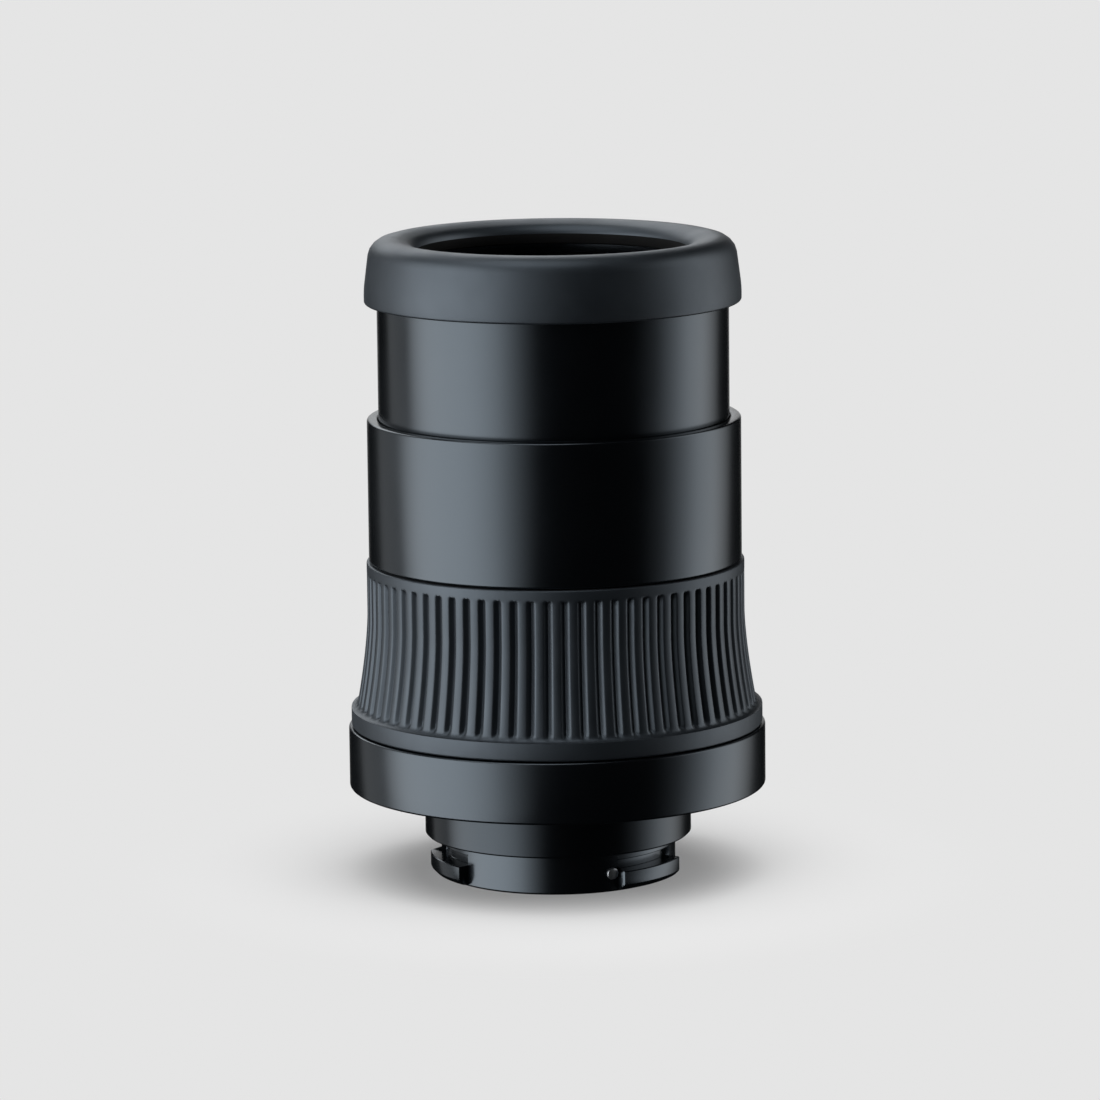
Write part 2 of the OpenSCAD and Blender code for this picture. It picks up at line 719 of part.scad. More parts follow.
module rear_cell() {
    color(anodised) rear_place() cell_body(rear_lens_r);
}

module rear_lens() {
    color(glass) rear_place() lens(rear_lens_r, cell_ledge_h, crown_edge_h + flint_edge_h,
        rear_low_sag, rear_high_sag);
}

module rear_lens_ring() {
    color(anodised) rear_place() cell_ring(rear_lens_r);
}

module rear_followers() {
    color(steel) rear_place() followers();
}

// Click ring: slides with the eyecup without turning, on keys in the eye tube
module click_ring() {
    color(brass) difference() {
        union() {
            ring(helix_in, sleeve_r, click_z, click_z + click_h);
            around(key_count, key_turn) intersection() {
                ring(eye_tube_out - key_depth + run_gap, helix_in + 0.5, click_z, click_z + click_h);
                translate([0, -key_w / 2 + run_gap, 0])
                    cube([sleeve_r, key_w - 2 * run_gap, top_z]);
            }
        }
        around(pin_count, cup_pin_turn) translate([click_ball_turn_r, 0, click_z + click_h - 1.25])
            cylinder(r = click_ball_r + 0.05, h = 2);
    }
}

module click_balls() {
    color(steel) around(pin_count, cup_pin_turn)
        translate([click_ball_turn_r, 0, sleeve_z - 0.05 - click_ball_r]) sphere(r = click_ball_r, $fn = 48);
}

// Helix sleeve: runs on the eye tube's guide pins and lifts the cup as it turns
module helix_sleeve() {
    color(brass) difference() {
        ring(helix_in, helix_out, sleeve_z, cup_flange_z);
        for (i = [0:pin_count - 1])
            helix_slot(helix_in - 1, helix_out + 1, cup_pin_turn + i * 360 / pin_count, cup_turn,
                cup_pin_z, cup_travel);
    }
}

module eyecup_tube() {
    color(anodised) {
        ring(sleeve_in, sleeve_r, sleeve_z, roof_z);
        ring(cup_flange_in, sleeve_in + 0.1, cup_flange_z, roof_z);
    }
}

// Eyecup rubber: skirt over the tube, round shoulder and a lip that falls towards the opening
module eyecup_rubber() {
    open_r = eye_open_r;
    shoulder = 1.8;
    taper = 0.75;
    straight_h = 2.3;
    lip = 0.7;
    crest_r = open_r + 3.4;
    color(rubber) rotate_extrude() polygon(concat(
        [[sleeve_r + seat_gap, roof_z], [sleeve_r + seat_gap, cup_z], [cup_r - 0.3, cup_z],
         [cup_r, cup_z + 0.3], [cup_r, cup_z + straight_h]],
        arc(cup_r - taper - shoulder, top_z - 0.25 - shoulder, shoulder, 0, 82, 6),
        [[crest_r, top_z]],
        arc(open_r + lip, top_z - 0.75 - lip, lip, 100, 180, 5),
        [[open_r, roof_z + 0.3], [open_r + 0.3, roof_z]]));
}

base_ring();
bayonet_mount();
stop_pin();
mount_seal();
field_lens();
field_lens_ring();
field_stop();
guide_tube();
guide_screws();
barrel();
zoom_seals();
eye_tube();
cup_guide_pins();
eye_cell();
eye_doublet_crown();
eye_doublet_flint();
eye_spacer();
eye_lens();
eye_lens_ring();
zoom_core();
zoom_grip();
drive_pins();
cam_tube();
front_cell();
front_crown_lens();
front_flint_lens();
front_lens_ring();
front_followers();
rear_cell();
rear_lens();
rear_lens_ring();
rear_followers();
click_ring();
click_balls();
helix_sleeve();
eyecup_tube();
eyecup_rubber();
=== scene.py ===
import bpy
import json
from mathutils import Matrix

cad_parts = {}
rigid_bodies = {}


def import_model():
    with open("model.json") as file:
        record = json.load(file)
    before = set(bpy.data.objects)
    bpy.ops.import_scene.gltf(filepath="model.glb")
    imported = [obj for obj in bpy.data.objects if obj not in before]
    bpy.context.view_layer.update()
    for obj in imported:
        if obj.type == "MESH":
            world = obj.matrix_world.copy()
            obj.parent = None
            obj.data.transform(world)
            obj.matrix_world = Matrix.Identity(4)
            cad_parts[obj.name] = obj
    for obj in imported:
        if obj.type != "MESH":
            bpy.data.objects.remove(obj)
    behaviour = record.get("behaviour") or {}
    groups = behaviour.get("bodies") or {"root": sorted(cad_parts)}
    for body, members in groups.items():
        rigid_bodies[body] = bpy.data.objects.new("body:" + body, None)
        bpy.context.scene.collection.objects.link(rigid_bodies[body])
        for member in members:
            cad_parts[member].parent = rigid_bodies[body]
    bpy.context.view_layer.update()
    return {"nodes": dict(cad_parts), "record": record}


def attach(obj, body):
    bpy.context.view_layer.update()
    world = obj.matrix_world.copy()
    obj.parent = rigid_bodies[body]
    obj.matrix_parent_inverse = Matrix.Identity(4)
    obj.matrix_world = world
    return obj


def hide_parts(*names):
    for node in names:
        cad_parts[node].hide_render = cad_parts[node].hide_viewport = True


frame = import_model()

import json
import math

import bmesh
import bpy
from mathutils import Matrix, Vector

mm = 0.001
nodes = frame["nodes"]

# Mesh tools: outlines are in mm and are turned round the optical axis

softSegments = 4
weldDistance = 1e-7


def turnedMesh(corners, steps):
    # corners are (radius, height, rounding), round a closed outline
    bm = bmesh.new()
    verts = [bm.verts.new((r * mm, 0, z * mm)) for r, z, soft in corners]
    for a, b in zip(verts, verts[1:] + verts[:1]):
        bm.edges.new((a, b))
    for vert, (r, z, soft) in zip(verts, corners):
        if soft:
            bmesh.ops.bevel(bm, geom=[vert], offset=soft * mm, offset_type='OFFSET',
                            segments=softSegments, profile=0.5, affect='VERTICES', material=-1)
    bmesh.ops.spin(bm, geom=bm.verts[:] + bm.edges[:], cent=(0, 0, 0), axis=(0, 0, 1),
                   dvec=(0, 0, 0), angle=math.tau, steps=steps, use_merge=True,
                   use_duplicate=False)
    bmesh.ops.remove_doubles(bm, verts=bm.verts[:], dist=weldDistance)
    bmesh.ops.recalc_face_normals(bm, faces=bm.faces[:])
    return bm


def columnOf(vert, steps):
    return round(math.atan2(vert.co.y, vert.co.x) / math.tau * steps) % steps


def radiusAndHeight(point):
    return math.hypot(point.x, point.y) / mm, point.z / mm  # in mm


def meshFrom(bm, name):
    mesh = bpy.data.meshes.new(name)
    bm.to_mesh(mesh)
    bm.free()
    return mesh


def addObject(name, data):
    thing = bpy.data.objects.new(name, data)
    bpy.context.scene.collection.objects.link(thing)
    return thing


def finishPiece(bm, name, body, materials, replaced, sharp=35):
    # edges that turn by more than sharp degrees keep their crease
    for face in bm.faces:
        face.smooth = True
    for edge in bm.edges:
        if edge.is_manifold and edge.calc_face_angle(0) > math.radians(sharp):
            edge.smooth = False
    mesh = meshFrom(bm, name)
    for material in materials:
        mesh.materials.append(material)
    piece = addObject(name, mesh)
    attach(piece, body)
    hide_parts(replaced)


# Material tools

colourA, colourB, colourOut = 6, 7, 2  # the colour sockets of a Mix node
cloudSpan = (0.3, 0.7)  # most of a noise's values lie between these


def grey(value):
    return (value, value, value, 1)


def newGroup(name, inputs, outputs):
    group = bpy.data.node_groups.new(name, 'ShaderNodeTree')
    for label, kind, value in inputs:
        socket = group.interface.new_socket(label, in_out='INPUT', socket_type=kind)
        socket.default_value = value
    for label in outputs:
        group.interface.new_socket(label, in_out='OUTPUT', socket_type='NodeSocketFloat')
    source = group.nodes.new('NodeGroupInput')
    target = group.nodes.new('NodeGroupOutput')
    return group, source.outputs, target.inputs


def addNode(tree, kind, links=(), **settings):
    # links holds a value or another node's socket for each input
    node = tree.nodes.new(kind)
    for key, value in settings.items():
        setattr(node, key, value)
    for socket, value in dict(links).items():
        target = node.inputs[socket]
        if isinstance(value, bpy.types.NodeSocket):
            tree.links.new(value, target)
        else:
            target.default_value = value
    return node


def buildGrain():
    # grain of a moulded or blasted surface, and a slower cloud over it
    group, source, target = newGroup('surfaceGrain', [
        ('Vector', 'NodeSocketVector', (0, 0, 0)), ('Grain', 'NodeSocketFloat', 4000.0),
        ('Cloud', 'NodeSocketFloat', 120.0)], ['Height', 'Cloud'])
    fine = addNode(group, 'ShaderNodeTexNoise', {
        'Vector': source['Vector'], 'Scale': source['Grain'], 'Detail': 2.0, 'Roughness': 0.5})
    slow = addNode(group, 'ShaderNodeTexNoise', {
        'Vector': source['Vector'], 'Scale': source['Cloud'], 'Detail': 4.0, 'Roughness': 0.55})
    group.links.new(fine.outputs[0], target['Height'])
    group.links.new(slow.outputs[0], target['Cloud'])
    return group


def buildTurning():
    # fine rings that a lathe leaves, one above the other along the axis
    group, source, target = newGroup('turnedRings', [
        ('Vector', 'NodeSocketVector', (0, 0, 0)), ('Rings', 'NodeSocketFloat', 3000.0)],
        ['Height'])
    height = addNode(group, 'ShaderNodeSeparateXYZ', {0: source['Vector']})
    noise = addNode(group, 'ShaderNodeTexNoise', {
        'W': height.outputs['Z'], 'Scale': source['Rings'], 'Detail': 2.0, 'Roughness': 0.5},
        noise_dimensions='1D')
    group.links.new(noise.outputs[0], target['Height'])
    return group


grainGroup = buildGrain()
turningGroup = buildTurning()


def newMaterial(name, settings):
    material = bpy.data.materials.new(name)
    material.use_nodes = True
    tree = material.node_tree
    shader = tree.nodes['Principled BSDF']
    for socket, value in settings.items():
        shader.inputs[socket].default_value = value
    place = addNode(tree, 'ShaderNodeTexCoord').outputs['Object']
    return material, tree, shader, place


def grainInto(tree, shader, place, look):
    grain = addNode(tree, 'ShaderNodeGroup', {
        'Vector': place, 'Grain': look['grain'], 'Cloud': look['cloud']}, node_tree=grainGroup)
    shade = addNode(tree, 'ShaderNodeMix', {
        'Factor': grain.outputs['Cloud'], colourA: look['dark'], colourB: look['light']},
        data_type='RGBA')
    rough = addNode(tree, 'ShaderNodeMapRange', {
        'Value': grain.outputs['Cloud'], 'From Min': cloudSpan[0], 'From Max': cloudSpan[1],
        'To Min': look['rough'][0], 'To Max': look['rough'][1]})
    bump = addNode(tree, 'ShaderNodeBump', {
        'Height': grain.outputs['Height'], 'Strength': look['bump'], 'Distance': look['depth']})
    tree.links.new(shade.outputs[colourOut], shader.inputs['Base Color'])
    tree.links.new(rough.outputs[0], shader.inputs['Roughness'])
    tree.links.new(bump.outputs[0], shader.inputs['Normal'])
    return bump


def ringsInto(tree, shader, place, bump, look):
    rings = addNode(tree, 'ShaderNodeGroup', {'Vector': place, 'Rings': look['rings']},
                    node_tree=turningGroup)
    lines = addNode(tree, 'ShaderNodeBump', {
        'Height': rings.outputs[0], 'Strength': look['ringBump'],
        'Distance': look['ringDepth'], 'Normal': bump.outputs[0]})
    tree.links.new(lines.outputs[0], shader.inputs['Normal'])


def turnedMetal(name, look, settings):
    material, tree, shader, place = newMaterial(name, settings)
    bump = grainInto(tree, shader, place, look)
    ringsInto(tree, shader, place, bump, look)
    return material


def moulded(name, look, settings):
    material, tree, shader, place = newMaterial(name, settings)
    grainInto(tree, shader, place, look)
    return material


def coatedGlass(name, haze, settings):
    material, tree, shader, place = newMaterial(name, settings)
    dust = addNode(tree, 'ShaderNodeTexNoise', {
        'Vector': place, 'Scale': haze['scale'], 'Detail': haze['detail']})
    veil = addNode(tree, 'ShaderNodeMapRange', {
        'Value': dust.outputs[0], 'From Min': haze['low'], 'From Max': haze['high'],
        'To Min': 0.0, 'To Max': haze['most']})
    tree.links.new(veil.outputs[0], shader.inputs['Roughness'])
    return material


anodisedLook = dict(grain=2600.0, cloud=60.0, dark=(0.0008, 0.001, 0.0014, 1),
                    light=(0.0014, 0.0017, 0.0022, 1), rough=(0.2, 0.25), bump=0.05,
                    depth=0.00002, rings=2200.0, ringBump=0.04, ringDepth=0.00002)
innerLook = dict(grain=3000.0, cloud=80.0, dark=(0.003, 0.0032, 0.0035, 1),
                 light=(0.006, 0.0065, 0.007, 1), rough=(0.5, 0.6), bump=0.15,
                 depth=0.00003, rings=1600.0, ringBump=0.15, ringDepth=0.00005)
rubberLook = dict(grain=2400.0, cloud=140.0, dark=(0.0036, 0.0048, 0.0064, 1),
                  light=(0.0056, 0.007, 0.009, 1), rough=(0.42, 0.5), bump=0.12, depth=0.00004)
darkWallLook = dict(grain=2600.0, cloud=200.0, dark=(0.0012, 0.0012, 0.0013, 1),
                  light=(0.0025, 0.0025, 0.0027, 1), rough=(0.75, 0.85), bump=0.3,
                  depth=0.00006)
sealLook = dict(grain=3000.0, cloud=300.0, dark=grey(0.01), light=grey(0.018),
                rough=(0.4, 0.5), bump=0.1, depth=0.00003)
steelLook = dict(grain=3200.0, cloud=300.0, dark=(0.52, 0.54, 0.56, 1),
                 light=(0.66, 0.68, 0.7, 1), rough=(0.3, 0.4), bump=0.1,
                 depth=0.00002, rings=5000.0, ringBump=0.08, ringDepth=0.00002)
brassLook = dict(grain=3200.0, cloud=150.0, dark=(0.5, 0.36, 0.14, 1),
                 light=(0.68, 0.5, 0.22, 1), rough=(0.25, 0.38), bump=0.1,
                 depth=0.00002, rings=4000.0, ringBump=0.1, ringDepth=0.00003)
blackenedLook = dict(grain=3000.0, cloud=150.0, dark=(0.004, 0.0035, 0.003, 1),
                     light=(0.008, 0.007, 0.006, 1), rough=(0.55, 0.65), bump=0.1,
                     depth=0.00002, rings=1800.0, ringBump=0.2, ringDepth=0.00005)
hazeLook = dict(scale=900.0, detail=3.0, low=0.55, high=0.8, most=0.05)
coldTint = (0.76, 0.88, 1.0, 1)

anodised = turnedMetal('anodisedAluminium', anodisedLook, {
    'IOR': 1.77, 'Specular Tint': coldTint})
# painted shade: a less reflective copy of the anodised finish, for the neck that lies in the
# base ring's shade
neckShadeAnodised = turnedMetal('anodisedNeckShade', anodisedLook, {'IOR': 1.57, 'Specular Tint': coldTint})
innerBlack = turnedMetal('innerBlack', innerLook, {'IOR': 1.42})
rubber = moulded('slateRubber', rubberLook, {
    'IOR': 1.55, 'Specular IOR Level': 0.88, 'Specular Tint': (0.75, 0.87, 1.0, 1),
    'Sheen Weight': 0.02, 'Sheen Roughness': 0.4})
# a near-black, very rough material for the lower wall of the cup's opening
darkWall = moulded('openingDarkWall', darkWallLook, {'IOR': 1.3})
seal = moulded('sealRubber', sealLook, {'IOR': 1.5})
steel = turnedMetal('brightSteel', steelLook, {'Metallic': 1.0})
brass = turnedMetal('turnedBrass', brassLook, {'Metallic': 1.0})
blackenedBrass = turnedMetal('blackenedBrass', blackenedLook, {'IOR': 1.36})
glass = coatedGlass('coatedGlass', hazeLook, {
    'Base Color': (0.97, 0.99, 0.98, 1), 'Transmission Weight': 1.0, 'IOR': 1.52,
    'Specular Tint': (0.62, 0.5, 1.0, 1), 'Coat Weight': 0.12,
    'Coat Tint': (0.6, 1.0, 0.75, 1), 'Coat Roughness': 0.02})
print('materials made')

# Eyecup: the rubber with its dished rim, and the tube that it slides on

eyecup = dict(steps=256, tubeIn=25.13, outer=26.9, low=82.9, top=92.1, roof=88.7, openR=19.3,
              crest=3.4, crown=0.25, taper=0.9, shoulder=2.1, straight=2.0, dish=0.95, lip=1.5,
              darkWall=1.7, darkWallR=0.4, footIn=0.15, footOut=0.35, waist=0.9, crestSoft=0.8,
              roofSoft=0.3, sharp=60)


def makeEyecupRubber():
    e = eyecup
    corners = [(e['tubeIn'], e['roof'], 0), (e['tubeIn'], e['low'], e['footIn']),
               (e['outer'], e['low'], e['footOut']),
               (e['outer'], e['low'] + e['straight'], e['waist']),
               (e['outer'] - e['taper'], e['top'] - e['crown'], e['shoulder']),
               (e['openR'] + e['crest'], e['top'], e['crestSoft']),
               (e['openR'], e['top'] - e['dish'], e['lip']),
               (e['openR'], e['roof'], e['roofSoft'])]
    bm = turnedMesh(corners, e['steps'])
    # the lower wall of the opening gets a near-black matt material
    for face in bm.faces:
        r, z = radiusAndHeight(face.calc_center_median())
        if r < e['openR'] + e['darkWallR'] and z < e['top'] - e['darkWall']:
            face.material_index = 1
    finishPiece(bm, 'eyecupRubber', 'eyecup', [rubber, darkWall], 'eyecup_rubber',
                e['sharp'])


sleeve = dict(steps=256, inner=24.1, outer=25.1, low=64.9, top=88.7, flangeIn=21.5,
              flangeLow=87.2, soft=0.15, footSoft=0.08, topSoft=0.05, cornerSoft=0.1)


def makeEyecupTube():
    s = sleeve
    corners = [(s['inner'], s['low'], s['footSoft']), (s['outer'], s['low'], s['soft']),
               (s['outer'], s['top'], s['topSoft']), (s['flangeIn'], s['top'], s['soft']),
               (s['flangeIn'], s['flangeLow'], s['soft']),
               (s['inner'], s['flangeLow'], s['cornerSoft'])]
    finishPiece(turnedMesh(corners, s['steps']), 'eyecupTube', 'eyecup',
                [anodised], 'eyecup_tube')


makeEyecupRubber()
makeEyecupTube()
print('eyecup made')

# Barrel: the wide tube on top, and under it the bearing wall inside the zoom ring

barrelForm = dict(steps=360, inner=22.75, bearing=24.35, outer=26.75, bore=25.2, foot=16.7,
                  low=45.8, shelf=47.0, rim=66.3, bevel=0.35, rimSoft=0.25, soft=0.1,
                  sealIn=23.58, lowSeal=(22.95, 23.85), highSeal=(43.75, 44.65),
                  slotLow=33.95, slotHigh=36.15, slotStarts=(0, 180), slotTurn=90,
                  slotEnd=3, slotReach=0.3, upright=0.2)


def makeBarrel():
    b = barrelForm

    def sealGroove(low, high):
        return [(b['bearing'], low, 0), (b['sealIn'], low, 0),
                (b['sealIn'], high, 0), (b['bearing'], high, 0)]

    corners = [(b['inner'], b['foot'], 0), (b['bearing'], b['foot'], b['soft']),
               *sealGroove(*b['lowSeal']),
               (b['bearing'], b['slotLow'], 0), (b['bearing'], b['slotHigh'], 0),
               *sealGroove(*b['highSeal']),
               (b['bearing'], b['low'], b['soft']), (b['outer'], b['low'], b['bevel']),
               (b['outer'], b['rim'], b['bevel']), (b['bore'], b['rim'], b['rimSoft']),
               (b['bore'], b['shelf'], b['soft']), (b['inner'], b['shelf'], b['soft']),
               (b['inner'], b['slotHigh'], 0), (b['inner'], b['slotLow'], 0)]
    bm = turnedMesh(corners, b['steps'])
    # the two slots for the drive pins go through the bearing wall
    middle = (b['slotLow'] + b['slotHigh']) / 2 * mm
    for start in b['slotStarts']:
        gone = []
        for face in bm.faces:
            centre = face.calc_center_median()
            turn = (math.degrees(math.atan2(centre.y, centre.x)) - start + 90) % 360 - 90
            if (abs(centre.z - middle) < b['slotReach'] * mm
                    and abs(face.normal.z) < b['upright']
                    and -b['slotEnd'] < turn < b['slotTurn'] + b['slotEnd']):
                gone.append(face)
        bmesh.ops.delete(bm, geom=gone, context='FACES')
        bmesh.ops.bridge_loops(bm, edges=[edge for edge in bm.edges if edge.is_boundary])
    bmesh.ops.recalc_face_normals(bm, faces=bm.faces[:])
    finishPiece(bm, 'barrel', 'housing', [anodised], 'barrel')


makeBarrel()
print('barrel made')

# Zoom grip: its ribs are softly rounded on top and parted by grooves with sloping walls

grip = dict(ribs=72, firstTurn=1.3,
            columns=(0.0, 0.03, 0.075, 0.12, 0.165, 0.205, 0.24, 0.275,
                     0.315, 0.36, 0.405, 0.45, 0.48, 0.55, 0.74, 0.93),
            depths=(0.06, 0.13, 0.23, 0.35, 0.46, 0.55, 0.6, 0.55,
                    0.46, 0.35, 0.23, 0.13, 0.06, 0.012, 0.0, 0.012),
            topR=27.1, footR=28.6, bandR=29.6, wall=1.35, low=21.95, high=45.65,
            straightH=7.5, flarePower=1.54, levels=24, fillet=25.5, filletR=1.0,
            filletTurns=(192, 204, 216, 228, 242, 256), ribTop=44.2, ribRun=0.35,
            ribLow=24.75, ribLine=0.2, topSoft=0.25, bandIn=0.02, bandEdge=0.12, bandSoft=0.3,
            kneeR=0.6, kneeUp=0.8, skin=0.05, lowSlack=0.02, highSlack=0.01, sharp=55)


def makeZoomGrip():
    g = grip
    flareZ = g['high'] - g['straightH']

    def flareR(z):
        share = max(0.0, min(1.0, (flareZ - z) / (flareZ - g['fillet'])))
        return g['topR'] + (g['footR'] - g['topR']) * share ** g['flarePower']

    ribEnd = g['ribTop'] - g['ribRun']
    outside = [(g['topR'], g['high'], g['topSoft']),
               (g['topR'], g['ribTop'] + g['ribLine'], 0), (g['topR'], g['ribTop'], 0),
               (g['topR'], g['ribTop'] - g['ribRun'] / 2, 0), (g['topR'], ribEnd, 0)]
    for i in range(1, g['levels']):
        z = ribEnd + (g['fillet'] - ribEnd) * i / g['levels']
        outside.append((flareR(z), z, 0))
    outside.append((g['footR'], g['fillet'], 0))
    for turn in g['filletTurns']:
        outside.append((g['bandR'] + g['filletR'] * math.cos(math.radians(turn)),
                        g['fillet'] + g['filletR'] * math.sin(math.radians(turn)), 0))
    shelf = g['fillet'] - g['filletR']
    outside += [(g['bandR'] - g['bandIn'], shelf, 0), (g['bandR'], shelf - g['bandEdge'], 0),
                (g['bandR'], g['low'], g['bandSoft'])]
    footIn, topIn = g['footR'] - g['wall'], g['topR'] - g['wall']
    inside = [(footIn, g['low'], 0), (footIn, g['fillet'], 0),
              (topIn + g['kneeR'], (flareZ + g['fillet']) / 2 + g['kneeUp'], 0),
              (topIn, flareZ, 0), (topIn, g['high'], 0)]
    count = len(g['columns'])
    steps = g['ribs'] * count
    bm = turnedMesh(outside + inside, steps)
    # every column of points moves to its place on a rib, and inwards where a groove lies
    for vert in bm.verts:
        r, z = radiusAndHeight(vert.co)
        rib, part = divmod(columnOf(vert, steps), count)
        turn = math.radians((rib + g['columns'][part]) * 360 / g['ribs'] + g['firstTurn'])
        onSkin = r > flareR(z) - g['skin']
        if onSkin and g['ribLow'] - g['lowSlack'] < z < g['ribTop'] - g['highSlack']:
            top = min(1.0, (g['ribTop'] - z) / g['ribRun'])
            foot = min(1.0, (z - g['ribLow']) / (g['fillet'] - g['ribLow']))
            r -= g['depths'][part] * min(top, foot)
        vert.co = (r * math.cos(turn) * mm, r * math.sin(turn) * mm, vert.co.z)
    bmesh.ops.recalc_face_normals(bm, faces=bm.faces[:])
    finishPiece(bm, 'zoomGrip', 'zoom_ring', [rubber], 'zoom_grip', g['sharp'])


makeZoomGrip()
print('zoom grip made')

# Base ring, with the pocket for the mount's flange and the groove for its seal

baseRing = dict(steps=256, inner=19.63, outer=30.0, low=13.0, high=21.8, bevel=0.35,
                floor=14.7, pocket=24.38, innerSoft=0.05, pocketSoft=0.1, sealR=21.7,
                sealHalf=0.55, sealLow=13.7)


def makeBaseRing():
    b = baseRing
    sealOut, sealIn = b['sealR'] + b['sealHalf'], b['sealR'] - b['sealHalf']
    corners = [(b['inner'], b['low'], b['innerSoft']), (b['outer'], b['low'], b['bevel']),
               (b['outer'], b['high'], b['bevel']), (b['pocket'], b['high'], b['pocketSoft']),
               (b['pocket'], b['floor'], b['pocketSoft']),
               (sealOut, b['floor'], 0), (sealOut, b['sealLow'], 0),
               (sealIn, b['sealLow'], 0), (sealIn, b['floor'], 0), (b['inner'], b['floor'], 0)]
    finishPiece(turnedMesh(corners, b['steps']), 'baseRing', 'housing',
                [anodised], 'base_ring')


makeBaseRing()
print('base ring made')

# Bayonet mount: a turned body whose spigot columns are moved for lugs and grooves

bayonet = dict(steps=360, boreR=14.0, boreBevel=0.6, spigotR=16.9, spigotBevel=0.3, neckR=19.2,
               neckEdge=0.25, seatR=19.6, flangeR=24.2, lugR=18.5, grooveR=16.1, grooveSoft=0.05,
               lugLow=0.3, lugBevel=0.8, lugHigh=3.1, grooveHigh=4.5, neckLow=5.8,
               neckHigh=12.7, reliefR=19.0, reliefSoft=0.05, baseLow=13.0, floor=14.7,
               flange=16.7, flangeSoft=0.1, lensR=15.53, lensLow=8.3, stopR=16.23, stopLow=15.9,
               lugStart=180, lugSpan=40, lugs=3, soft=0.12, flat=0.8, touch=0.001,
               endReach=1.01, endShares={-1: 0.0, 0: 0.88},
               endShifts={-1: 0.97, 0: 0.03, 1: -0.55}, neckSkin=0.2)


def lugOutline(b):
    # the same number of points on a plain column and on a lug column, from the bottom bevel
    # up to the neck
    soft, near = b['soft'], b['soft'] * b['flat']
    low, high, top = b['lugLow'], b['lugHigh'], b['grooveHigh']
    bevelR, bevelZ = b['lugR'] - b['lugBevel'], low + b['lugBevel']
    lug = [(b['spigotR'], low), (bevelR - soft, low), (bevelR + soft, low + near),
           (b['lugR'] - near, bevelZ - soft), (b['lugR'], bevelZ + soft),
           (b['lugR'], high - soft), (b['lugR'] - soft, high),
           (b['grooveR'] + b['grooveSoft'], high), (b['grooveR'], high + b['grooveSoft']),
           (b['grooveR'], top), (b['spigotR'] - soft, top), (b['spigotR'], top + soft),
           (b['spigotR'], b['neckLow'])]
    last = len(lug) - 1
    plain = [(b['spigotR'], low + (b['neckLow'] - low) * i / last) for i in range(last + 1)]
    return plain, lug


def lugShare(b, turn):
    # how far a column is moved out to a lug, and by how many degrees it is shifted: two
    # columns at each end are drawn together for a steep, softly bevelled end face
    share, shift = 0.0, 0.0
    for i in range(b['lugs']):
        past = (turn - b['lugStart'] - i * 360 / b['lugs'] + 180) % 360 - 180
        before = b['lugSpan'] - past
        near = min(past, before)
        if near > -b['endReach']:
            share = b['endShares'].get(round(near), 1.0)
            shift = b['endShifts'].get(round(near), 0.0) * (1 if past < before else -1)
    return share, shift


def makeBayonet():
    b = bayonet
    plain, lug = lugOutline(b)
    lower = [(b['boreR'] + b['boreBevel'], 0, 0), (b['spigotR'] - b['spigotBevel'], 0, 0)]
    upper = [(b['neckR'] - b['neckEdge'], b['neckLow'], 0),
             (b['neckR'], b['neckLow'] + b['neckEdge'], 0),
             (b['neckR'], b['neckHigh'], b['reliefSoft']), (b['reliefR'], b['neckHigh'], 0),
             (b['reliefR'], b['baseLow'], 0), (b['seatR'], b['baseLow'], 0),
             (b['seatR'], b['floor'], 0), (b['flangeR'], b['floor'], b['flangeSoft']),
             (b['flangeR'], b['flange'], b['flangeSoft']),
             (b['stopR'], b['flange'], b['flangeSoft']), (b['stopR'], b['stopLow'], 0),
             (b['lensR'], b['stopLow'], 0), (b['lensR'], b['lensLow'], 0),
             (b['boreR'], b['lensLow'], 0), (b['boreR'], b['boreBevel'], 0)]
    bm = turnedMesh(lower + [(r, z, 0) for r, z in plain] + upper, b['steps'])
    for vert in bm.verts:
        r, z = radiusAndHeight(vert.co)
        onSpigot = abs(r - b['spigotR']) <= b['touch']
        if not onSpigot or not b['lugLow'] - b['touch'] <= z <= b['neckLow'] + b['touch']:
            continue
        place = min(range(len(plain)), key=lambda i: abs(plain[i][1] - z))
        turn = columnOf(vert, b['steps']) * 360 / b['steps']
        share, shift = lugShare(b, turn)
        r, z = (a + (c - a) * share for a, c in zip(plain[place], lug[place]))
        angle = math.radians(turn + shift)
        vert.co = (r * math.cos(angle) * mm, r * math.sin(angle) * mm, z * mm)
    bmesh.ops.recalc_face_normals(bm, faces=bm.faces[:])
    # painted shade: the neck under the base ring gets a less reflective copy of the anodised
    # finish, standing in for the base ring's shade
    for face in bm.faces:
        r, z = radiusAndHeight(face.calc_center_median())
        if b['neckLow'] < z < b['neckHigh'] and r > b['neckR'] - b['neckSkin']:
            face.material_index = 1
    finishPiece(bm, 'bayonetMount', 'housing', [anodised, neckShadeAnodised],
                'bayonet_mount')


pinForm = dict(radius=0.85, start=15.5, end=17.4, turn=296.5, level=2.7, steps=48,
               dome=0.1, edgeSoft=0.12, faceR=0.55, faceDown=0.3, faceSoft=0.1)


